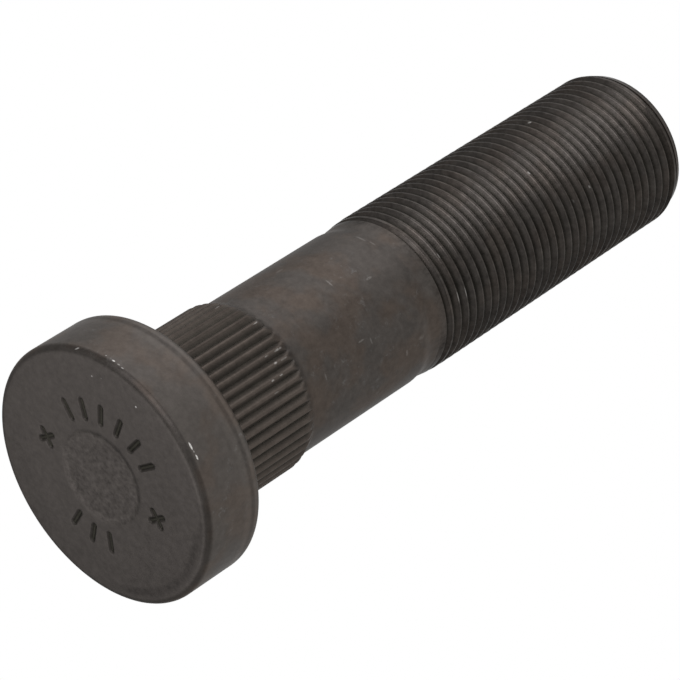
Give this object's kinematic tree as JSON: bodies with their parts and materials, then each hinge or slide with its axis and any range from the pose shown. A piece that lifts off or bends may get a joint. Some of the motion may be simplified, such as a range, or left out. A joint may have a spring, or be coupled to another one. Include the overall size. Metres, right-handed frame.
{
  "type": "wheel bolt",
  "caption": "Press-in wheel bolt: flat round head with rounded edges, splined neck, plain shank and fine metric thread; holds a wheel on its hub.",
  "frame": {"origin": "centre of the head's flat outer face, on which the bolt stands", "axes": "+Z along the bolt's axis from the head to the end of the thread; the long row of stamped bars on the outer face is centred on -Y"},
  "size_m": [0.034, 0.034, 0.1],
  "materials": {
    "dark_steel": "satin"
  },
  "bodies": {
    "root": {"wheel_bolt": "dark_steel"}
  },
  "joints": []
}
